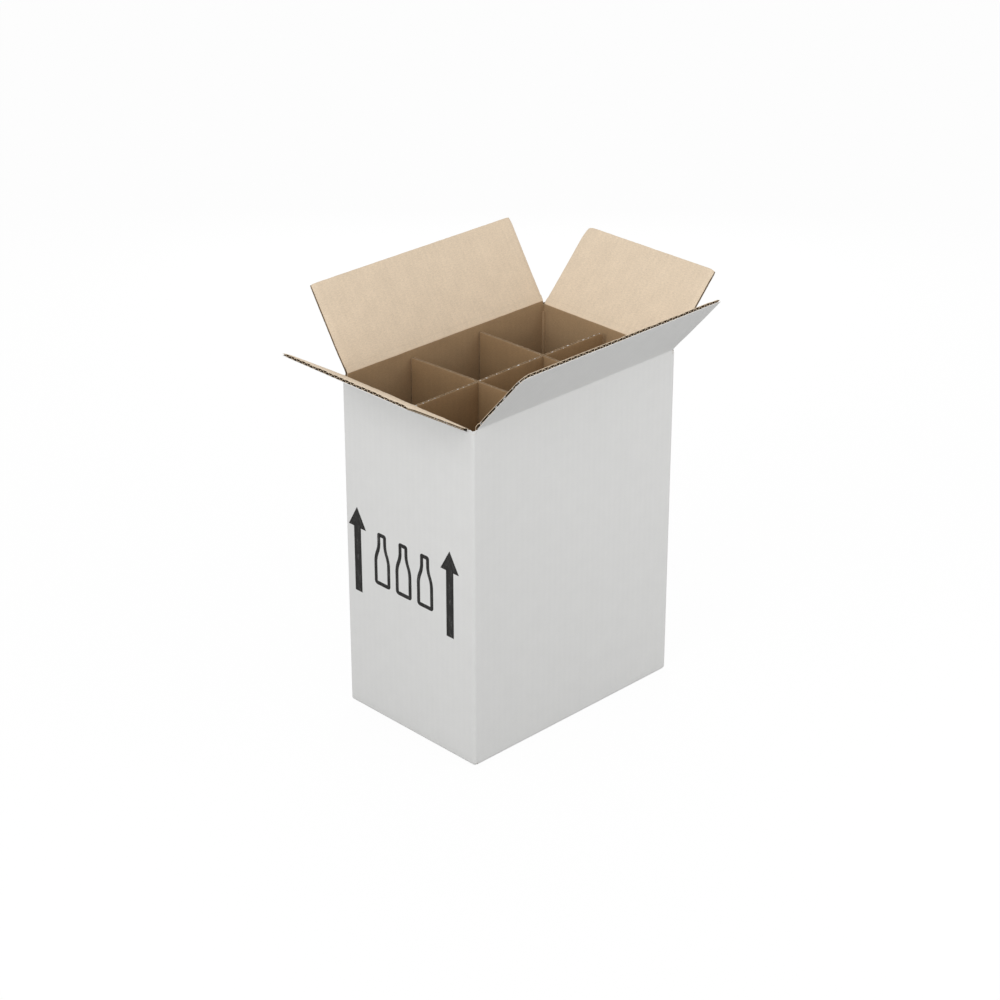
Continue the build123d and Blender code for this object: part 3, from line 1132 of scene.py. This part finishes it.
def crossing_at(case, sizes, name):
    """Where a cross divider stands, how long it is, how far it is off square, and its slot."""
    low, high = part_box(f"{name}_cross_divider")
    length = 2 * (case.half_width - case.board - CROSS_DIVIDER_END_GAP)
    skew = asin((high.x - low.x - sizes.divider_board) / length)
    slot = sizes.divider_board * (1 / cos(skew) + tan(skew)) + DIVIDER_SLOT_PLAY
    return {"x": (low.x + high.x) / 2, "half": length / 2, "skew": skew, "half_slot": slot / 2}


def build_divider(scene, place, across, along, standing, name, node, add_more=None):
    """One divider of fluted board, brown on both sides."""
    sizes = scene.bottle_box_board
    board = BoardMesh()
    fluted_board(board, place, sizes, sizes.divider_board, across, along, (BROWN, BROWN), standing)
    if add_more:
        add_more(board)
    piece = board.make(name, board_materials(scene, "divider"))
    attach(piece, "case")
    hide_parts(node)


def build_long_divider(scene, crossings):
    """The divider along the case, slotted from its top edge."""
    low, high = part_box("long_divider")
    half, middle = (high.x - low.x) / 2, (high.x + low.x) / 2
    sizes, cut = scene.bottle_box_board, DIVIDER_CORNER_CUT
    slot_foot = high.z - (high.z - low.z + DIVIDER_SLOT_OVERLAP) / 2
    slots = [(crossing["x"] - middle, crossing["half_slot"]) for crossing in crossings]

    def place(u, v, n):
        u, v, n = matched(u, v, n)
        at_corner = ease(np.abs(u), half - cut, half) * ease(v, high.z - cut, high.z)
        corner = at_corner**2 * cut / 2
        edge = ease(v, high.z - 2.5 * MM, high.z)
        wave = 0.16 * MM * smooth_noise(u, 2.6 * MM, 71) * edge
        pinch = 1 - 0.22 * edge * (0.6 + 0.4 * smooth_noise(u, 9 * MM, 72))
        bow = 0.3 * MM * np.sin(pi * u / half) * ease(v, low.z + 60 * MM, high.z)
        y = sizes.divider_board / 2 - n * pinch + bow
        return np.stack([middle + u - np.sign(u) * corner, y, v - corner + np.minimum(wave, 0)], axis=-1)

    def standing(u, v):
        in_slot = [np.abs(u - place_x) < half_slot for place_x, half_slot in slots]
        return ~((in_slot[0] | in_slot[1]) & (v > slot_foot))

    def add_tufts(board):
        """Pale tufts on the top edge, where the blade tore the wave's crests instead of cutting them."""
        draws = np.random.default_rng(29)
        for crest in np.arange(-half + 3 * MM, half - 3 * MM, sizes.flute_pitch):
            u = np.array([crest + draws.uniform(-0.8, 0.8) * MM])
            size = draws.uniform((0.40, 0.30, 0.25), (1.45, 0.75, 0.50)) * MM
            torn = draws.random() < 0.66
            if torn and standing(u, np.array([high.z - 1 * MM]))[0]:
                front = sizes.divider_board * draws.uniform(0.55, 0.92)
                crumb(board, place(u, high.z - 0.15 * MM, front)[0], size, WHITE, draws)

    edges = [place_x + side * half_slot for place_x, half_slot in slots for side in (-1, 1)]
    across = stations(-half, half, DIVIDER_STEP, half - cut, cut - half, *edges)
    along = stations(low.z, high.z, HEIGHT_STEP, slot_foot, high.z - cut, high.z - cut / 2)
    build_divider(scene, place, across, along, standing, "long_partition", "long_divider", add_tufts)


def build_cross_divider(scene, name, seed, crossing):
    """A divider across the case, slotted from its bottom edge."""
    half, skew, half_slot = crossing["half"], crossing["skew"], crossing["half_slot"]
    node = f"{name}_cross_divider"
    low, high = (corner.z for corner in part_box(node))
    thickness = scene.bottle_box_board.divider_board
    slot_head = low + (high - low + DIVIDER_SLOT_OVERLAP) / 2

    def place(u, v, n):
        u, v, n = matched(u, v, n)
        edge = ease(v, high - 2.5 * MM, high)
        wave = 0.12 * MM * smooth_noise(u, 3.1 * MM, seed) * edge
        bow = 0.35 * MM * np.sin(pi * u / half) * ease(v, low + 60 * MM, high)
        off = n * (1 - 0.2 * edge) - thickness / 2 + 0.1 * thickness * edge + bow
        x = crossing["x"] - u * sin(skew) + off * cos(skew)
        y = u * cos(skew) + off * sin(skew)
        return np.stack([x, y, v + np.minimum(wave, 0)], axis=-1)

    def standing(u, v):
        return ~((np.abs(u) < half_slot) & (v < slot_head))

    across = stations(-half, half, DIVIDER_STEP, -half_slot, half_slot)
    along = stations(low, high, HEIGHT_STEP, slot_head, high - 2.5 * MM)
    build_divider(scene, place, across, along, standing, f"{name}_cross_partition", node)


# ---- Print on the left end wall ----

ARROW_PLACES = {"back": 68.5 * MM, "front": -53.8 * MM}
ARROW_FOOT, ARROW_NECK, ARROW_TIP = 122 * MM, 188.2 * MM, 208.6 * MM
SHAFT_HALF, HEAD_HALF = 4.7 * MM, 11.8 * MM
BOTTLE_PLACES = {"back": 35.5 * MM, "middle": 7.0 * MM, "front": -21.5 * MM}
BOTTLE_FOOT, BOTTLE_TOP = 141 * MM, 191 * MM
BODY_HALF, NECK_HALF, HALF_STROKE = 8.6 * MM, 3.9 * MM, 2.0 * MM
INK_DEPTH = 0.05 * MM


def on_wall(case, y, z, n):
    """A point n outside the left end wall's face, a hair clear of it."""
    wall = case.warp(np.stack([np.full(y.shape, -case.half_length), y, z], axis=-1))
    wall[..., 0] -= 0.02 * MM + n
    return wall


def finish_print(scene, board, name):
    """Makes a printed mark, all of it in ink."""
    piece = board.make(name, [ink_material(scene)] * 3)
    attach(piece, "case")


def print_arrow(scene, case, name, place_y):
    """A straight shaft under a three-cornered head."""

    def place(u, v, n):
        u, v, n = matched(u, v, n)
        taper = np.clip((ARROW_TIP - v) / (ARROW_TIP - ARROW_NECK), 0, 1)
        return on_wall(case, place_y + u * np.where(v > ARROW_NECK, taper, 1), v, n)

    across = stations(-HEAD_HALF, HEAD_HALF, 6 * MM, -SHAFT_HALF, SHAFT_HALF)
    along = stations(ARROW_FOOT, ARROW_TIP, 5 * MM, ARROW_NECK)
    u, v = cell_middles(across, along)
    board = BoardMesh()
    printed = (np.abs(u) < SHAFT_HALF) | (v > ARROW_NECK)
    plate(board, place, across, along, 0.0, INK_DEPTH, (CUT, CUT, CUT), printed)
    finish_print(scene, board, name)


def print_bottle(scene, case, name, place_y):
    """A bottle drawn as one closed line of even width."""
    height = BOTTLE_TOP - BOTTLE_FOOT
    shoulder, collar = (BODY_HALF, 0.52 * height), (NECK_HALF, 0.74 * height)
    right = [(0, 0), (BODY_HALF, 0), shoulder, collar, (NECK_HALF, height), (0, height)]
    line = rounded_line(right, [1.8 * MM, 8 * MM, 6 * MM, 1.0 * MM], 6)
    outline = np.concatenate([line, line[::-1][1:-1] * (-1, 1)])

    def unit(steps):
        return steps / np.maximum(np.linalg.norm(steps, axis=1, keepdims=True), 1e-9)

    ahead, behind = np.roll(outline, -1, axis=0) - outline, outline - np.roll(outline, 1, axis=0)
    tangent = unit(unit(ahead) + unit(behind))
    normal = np.stack([tangent[:, 1], -tangent[:, 0]], axis=1)
    rails = {}
    for face, depth in (("under", 0.0), ("over", INK_DEPTH)):
        for rail, offset in (("outer", HALF_STROKE), ("inner", -HALF_STROKE)):
            points = outline + normal * offset
            points = np.concatenate([points, points[:1]])
            rails[face, rail] = on_wall(case, place_y + points[:, 0], BOTTLE_FOOT + points[:, 1], depth)
    board = BoardMesh()
    for first, second in (
        (("under", "outer"), ("under", "inner")),
        (("over", "outer"), ("over", "inner")),
        (("under", "outer"), ("over", "outer")),
        (("under", "inner"), ("over", "inner")),
    ):
        grid = np.stack([rails[first], rails[second]])
        board.add_grid(grid, grid[..., 1:], CUT)
    finish_print(scene, board, name)


# ---- Operators ----


class BOTTLEBOX_OT_case(bpy.types.Operator):
    """Build the case: its walls, corner posts, closed bottom and glued tab"""

    bl_idname = "bottlebox.case"
    bl_label = "Build Case"

    def execute(self, context):
        case = CaseShape(context.scene.bottle_box_board)
        board = BoardMesh()
        for build in (
            build_walls,
            build_bottom,
            build_beads,
            build_tab,
            build_corner_rims,
            build_bottom_edges,
            build_torn_bits,
        ):
            build(board, case)
        piece = board.make("case_walls", board_materials(context.scene, "wall"))
        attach(piece, "case")
        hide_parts("case_body")
        return {"FINISHED"}


class BOTTLEBOX_OT_flaps(bpy.types.Operator):
    """Build the four top flaps of fluted board, each with its small bends and worn corners"""

    bl_idname = "bottlebox.flaps"
    bl_label = "Build Top Flaps"

    def execute(self, context):
        sizes = context.scene.bottle_box_board
        case = CaseShape(sizes)
        for side in FlapShape.SIDES:
            flap = FlapShape(side, case)
            board = BoardMesh()
            along = stations(TOP_FOLD_REACH, flap.length, 4 * MM)
            papers, gaps = (WHITE, BROWN), {"side_gap": 1.3 * MM, "end_gap": 0.5 * MM}
            fluted_board(
                board, flap.place, sizes, sizes.case_board, flap.columns(), along, papers, **gaps
            )
            build_frayed_side(board, flap, sizes.case_board)
            piece = board.make(f"{side}_flap_board", board_materials(context.scene, "flap"))
            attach(piece, f"{side}_flap")
            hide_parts(f"{side}_top_flap")
        return {"FINISHED"}


class BOTTLEBOX_OT_folds(bpy.types.Operator):
    """Build the crushed strips that join each top flap to its wall, inside and outside"""

    bl_idname = "bottlebox.folds"
    bl_label = "Build Top Folds"

    def execute(self, context):
        case = CaseShape(context.scene.bottle_box_board)
        for side in FlapShape.SIDES:
            build_fold(context.scene, FlapShape(side, case))
        return {"FINISHED"}


class BOTTLEBOX_OT_partition(bpy.types.Operator):
    """Build the long divider and the two cross dividers that slot into it"""

    bl_idname = "bottlebox.partition"
    bl_label = "Build Partition"

    def execute(self, context):
        sizes = context.scene.bottle_box_board
        case = CaseShape(sizes)
        crossings = [crossing_at(case, sizes, name) for name in ("left", "right")]
        build_long_divider(context.scene, crossings)
        for name, seed, crossing in zip(("left", "right"), (80, 90), crossings):
            build_cross_divider(context.scene, name, seed, crossing)
        return {"FINISHED"}


class BOTTLEBOX_OT_print(bpy.types.Operator):
    """Print the left end wall: two arrows that point up, and three plain bottle outlines"""

    bl_idname = "bottlebox.print_marks"
    bl_label = "Print End Wall"

    def execute(self, context):
        case = CaseShape(context.scene.bottle_box_board)
        for name, place_y in ARROW_PLACES.items():
            print_arrow(context.scene, case, f"{name}_arrow_print", place_y)
        for name, place_y in BOTTLE_PLACES.items():
            print_bottle(context.scene, case, f"{name}_bottle_print", place_y)
        return {"FINISHED"}


class BOTTLEBOX_OT_stage(bpy.types.Operator):
    """Set up the pale floor, the soft lights and the camera"""

    bl_idname = "bottlebox.stage"
    bl_label = "Build Stage"

    def execute(self, context):
        stage = context.scene.bottle_box_stage
        self.floor(context, stage)
        self.lights(context, stage)
        self.camera(context, stage)
        context.scene.view_settings.view_transform = "Standard"
        return {"FINISHED"}

    def floor(self, context, stage):
        """A wide plane under the box, pale to look at and darker as a reflector."""
        half, low = 14.0, -0.3 * MM
        corners = [(x * half, y * half, low) for x, y in ((-1, -1), (1, -1), (1, 1), (-1, 1))]
        mesh = bpy.data.meshes.new("studio_floor")
        mesh.from_pydata(corners, [], [(0, 1, 2, 3)])
        floor = bpy.data.objects.new("studio_floor", mesh)
        context.scene.collection.objects.link(floor)
        material = bpy.data.materials.new("Studio floor")
        material.use_nodes = True
        tree = material.node_tree
        tree.nodes.clear()

        def shader(kind, colour):
            node = tree.nodes.new(kind)
            node.inputs["Color"].default_value = (*colour, 1)
            return node.outputs[0]

        def mixed(share, first, second):
            node = tree.nodes.new("ShaderNodeMixShader")
            for socket, value in zip(node.inputs, (share, first, second)):
                set_socket(tree, socket, value)
            return node.outputs[0]

        paper = shader("ShaderNodeBsdfDiffuse", stage.floor)
        seen = mixed(stage.glow, paper, shader("ShaderNodeEmission", (1, 1, 1)))
        bounced = shader("ShaderNodeBsdfDiffuse", stage.bounce)
        path = tree.nodes.new("ShaderNodeLightPath")
        output = tree.nodes.new("ShaderNodeOutputMaterial")
        surface = mixed(path.outputs["Is Camera Ray"], bounced, seen)
        tree.links.new(surface, output.inputs["Surface"])
        mesh.materials.append(material)

    def lights(self, context, stage):
        """A large soft key from the left, a low fill in front, a light behind, and light all round."""
        world = bpy.data.worlds.new("Studio")
        world.use_nodes = True
        background = world.node_tree.nodes["Background"]
        background.inputs["Color"].default_value = (1, 1, 1, 1)
        background.inputs["Strength"].default_value = stage.sky
        context.scene.world = world
        for name, place, size, power in (
            ("key_light", Vector((-1.1, -0.2, 0.88)), 0.9, stage.key),
            ("fill_light", Vector((0.25, -0.75, 0.45)), 0.6, stage.fill),
            ("back_light", Vector((0.8, 0.8, 0.6)), 0.9, stage.back),
        ):
            light = bpy.data.lights.new(name, "AREA")
            light.size = size
            light.energy = power
            lamp = bpy.data.objects.new(name, light)
            lamp.visible_camera = False
            self.aim(context, lamp, place, Vector((0, 0, 0.25)) - place)

    def camera(self, context, stage):
        """A long lens that looks down on the front left corner of the box."""
        camera = bpy.data.cameras.new("camera")
        camera.lens = stage.lens
        camera.clip_start, camera.clip_end = 0.05, 60
        holder = bpy.data.objects.new("camera", camera)
        level = cos(stage.elevation)
        ahead = (-sin(stage.azimuth) * level, cos(stage.azimuth) * level, -sin(stage.elevation))
        self.aim(context, holder, stage.camera_place, Vector(ahead))
        context.scene.camera = holder

    def aim(self, context, holder, place, ahead):
        """Stands a lamp or the camera at a place, looking ahead."""
        holder.location = place
        holder.rotation_mode = "QUATERNION"
        holder.rotation_quaternion = ahead.to_track_quat("-Z", "Y")
        context.scene.collection.objects.link(holder)


OPERATORS = (
    BOTTLEBOX_OT_stage,
    BOTTLEBOX_OT_case,
    BOTTLEBOX_OT_flaps,
    BOTTLEBOX_OT_folds,
    BOTTLEBOX_OT_partition,
    BOTTLEBOX_OT_print,
)
SETTINGS = {
    "bottle_box_board": BoardSettings,
    "bottle_box_finish": FinishSettings,
    "bottle_box_stage": StageSettings,
}


class BOTTLEBOX_PT_panel(bpy.types.Panel):
    """Settings and build steps of the bottle box"""

    bl_idname = "BOTTLEBOX_PT_panel"
    bl_label = "Bottle Box"
    bl_space_type = "VIEW_3D"
    bl_region_type = "UI"
    bl_category = "Bottle Box"

    def draw(self, context):
        for title in SETTINGS:
            settings = getattr(context.scene, title)
            box = self.layout.box()
            box.label(text=title.removeprefix("bottle_box_").title())
            for name in settings.bl_rna.properties.keys():
                if name not in ("rna_type", "name"):
                    box.prop(settings, name)
        for operator in OPERATORS:
            self.layout.operator(operator.bl_idname)


CLASSES = (*SETTINGS.values(), *OPERATORS, BOTTLEBOX_PT_panel)


def register():
    for known in CLASSES:
        bpy.utils.register_class(known)
    for name, settings in SETTINGS.items():
        setattr(bpy.types.Scene, name, PointerProperty(type=settings))


def unregister():
    for name in SETTINGS:
        delattr(bpy.types.Scene, name)
    for known in reversed(CLASSES):
        bpy.utils.unregister_class(known)


def main():
    register()
    bpy.ops.bottlebox.stage()
    bpy.ops.bottlebox.case()
    bpy.ops.bottlebox.flaps()
    bpy.ops.bottlebox.folds()
    bpy.ops.bottlebox.partition()
    bpy.ops.bottlebox.print_marks()


if __name__ == "__main__":
    main()
